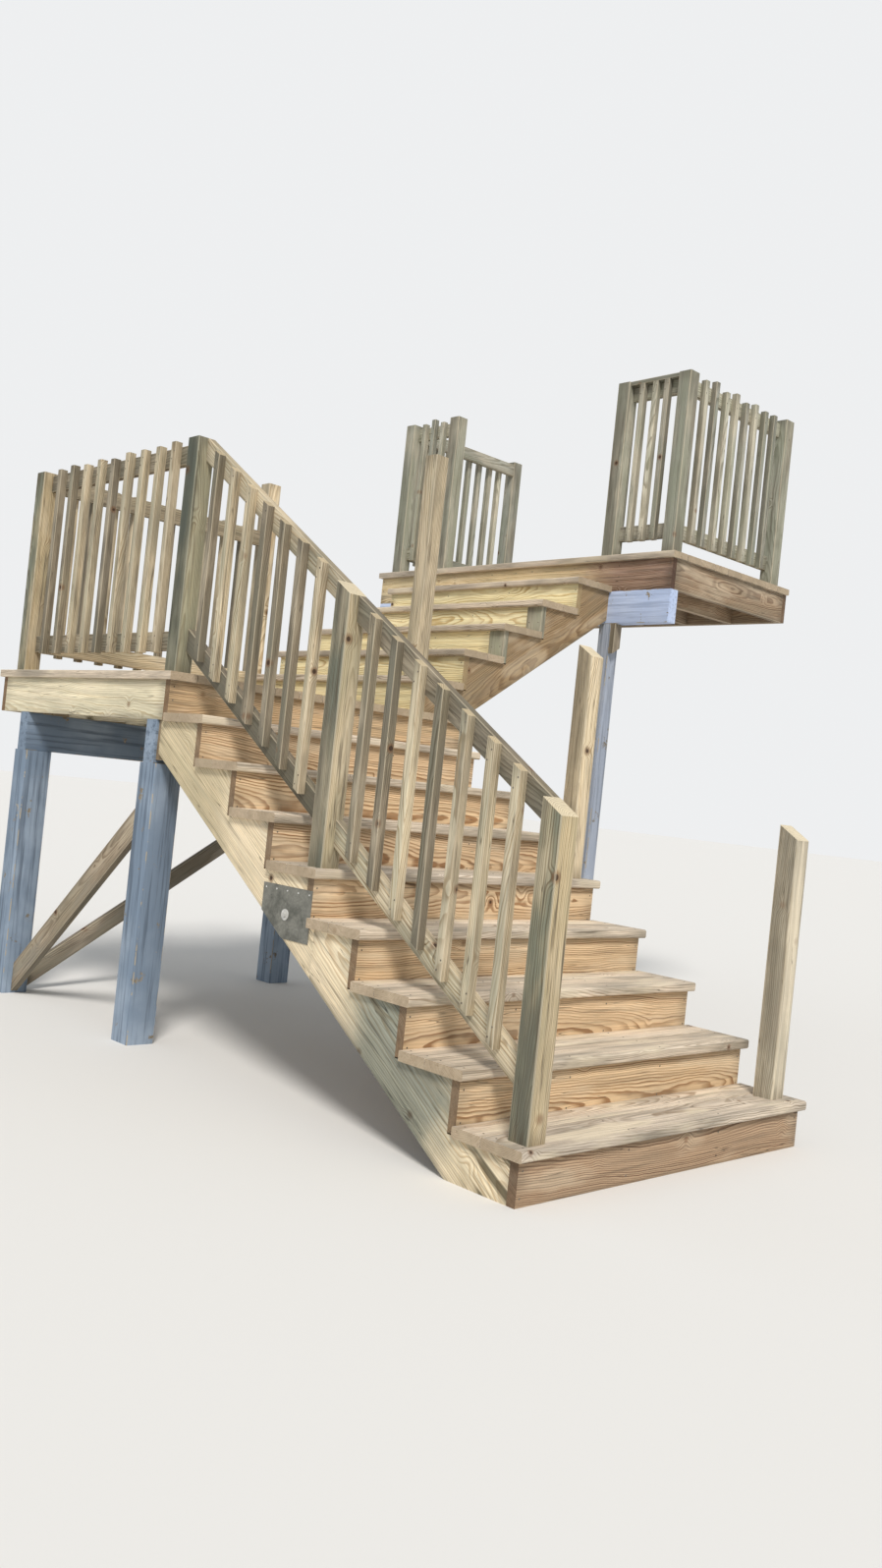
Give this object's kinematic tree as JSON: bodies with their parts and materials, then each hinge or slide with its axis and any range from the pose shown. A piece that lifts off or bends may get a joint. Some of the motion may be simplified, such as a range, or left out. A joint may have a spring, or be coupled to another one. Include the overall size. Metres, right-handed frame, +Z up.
{
  "type": "wooden deck stairs",
  "caption": "Timber deck stairs in two flights with a right-angle landing, notched stringers, closed risers, newels, baluster guards and a small deck at the wall.",
  "frame": {"origin": "middle of the footprint's bounding box, on the ground", "axes": "+X from the landing down the lower flight, +Y up the upper flight towards the wall, +Z up"},
  "size_m": [4.554, 4.284, 3.965],
  "materials": {
    "tread_pine": "rough sawn, weathered",
    "riser_pine": "rough sawn, strong grain",
    "stringer_pine": "rough sawn",
    "newel_pine": "rough sawn, green tint of the treatment",
    "baluster_pine": "rough sawn",
    "frame_pine": "rough sawn",
    "blue_painted_timber": "peeling paint",
    "weathered_timber": "weathered",
    "galvanised_steel": "dull galvanised"
  },
  "bodies": {
    "root": {"lower_stringer_left_foot": "stringer_pine", "lower_stringer_left_head": "stringer_pine", "lower_stringer_right": "stringer_pine", "lower_stringers_middle": "stringer_pine", "stringer_splice_plate": "galvanised_steel", "stringer_splice_cleat": "weathered_timber", "lower_treads": "tread_pine", "lower_risers": "riser_pine", "upper_stringer_left": "stringer_pine", "upper_stringer_right": "stringer_pine", "upper_stringers_middle": "stringer_pine", "upper_treads": "tread_pine", "upper_risers": "riser_pine", "upper_riser_end_blocks": "newel_pine", "landing_side_rims": "frame_pine", "landing_end_rims": "frame_pine", "landing_joists": "frame_pine", "landing_decking": "tread_pine", "landing_beams": "blue_painted_timber", "landing_stringer_hanger": "frame_pine", "landing_posts": "blue_painted_timber", "landing_braces": "weathered_timber", "deck_front_rim": "frame_pine", "deck_ledger": "frame_pine", "deck_side_rims": "frame_pine", "deck_joists": "frame_pine", "deck_decking": "tread_pine", "deck_beam": "blue_painted_timber", "deck_posts": "blue_painted_timber", "deck_beam_block": "weathered_timber", "lower_newels_left": "newel_pine", "lower_newels_right": "newel_pine", "landing_newels": "newel_pine", "upper_newels": "newel_pine", "deck_newels": "newel_pine", "lower_railing_foot": "baluster_pine", "lower_railing_head": "baluster_pine", "landing_railing_front": "baluster_pine", "landing_railing_left": "baluster_pine", "deck_railing_front_left": "baluster_pine", "deck_railing_front_right": "baluster_pine", "deck_railing_left": "baluster_pine", "deck_railing_right": "baluster_pine"}
  },
  "joints": []
}
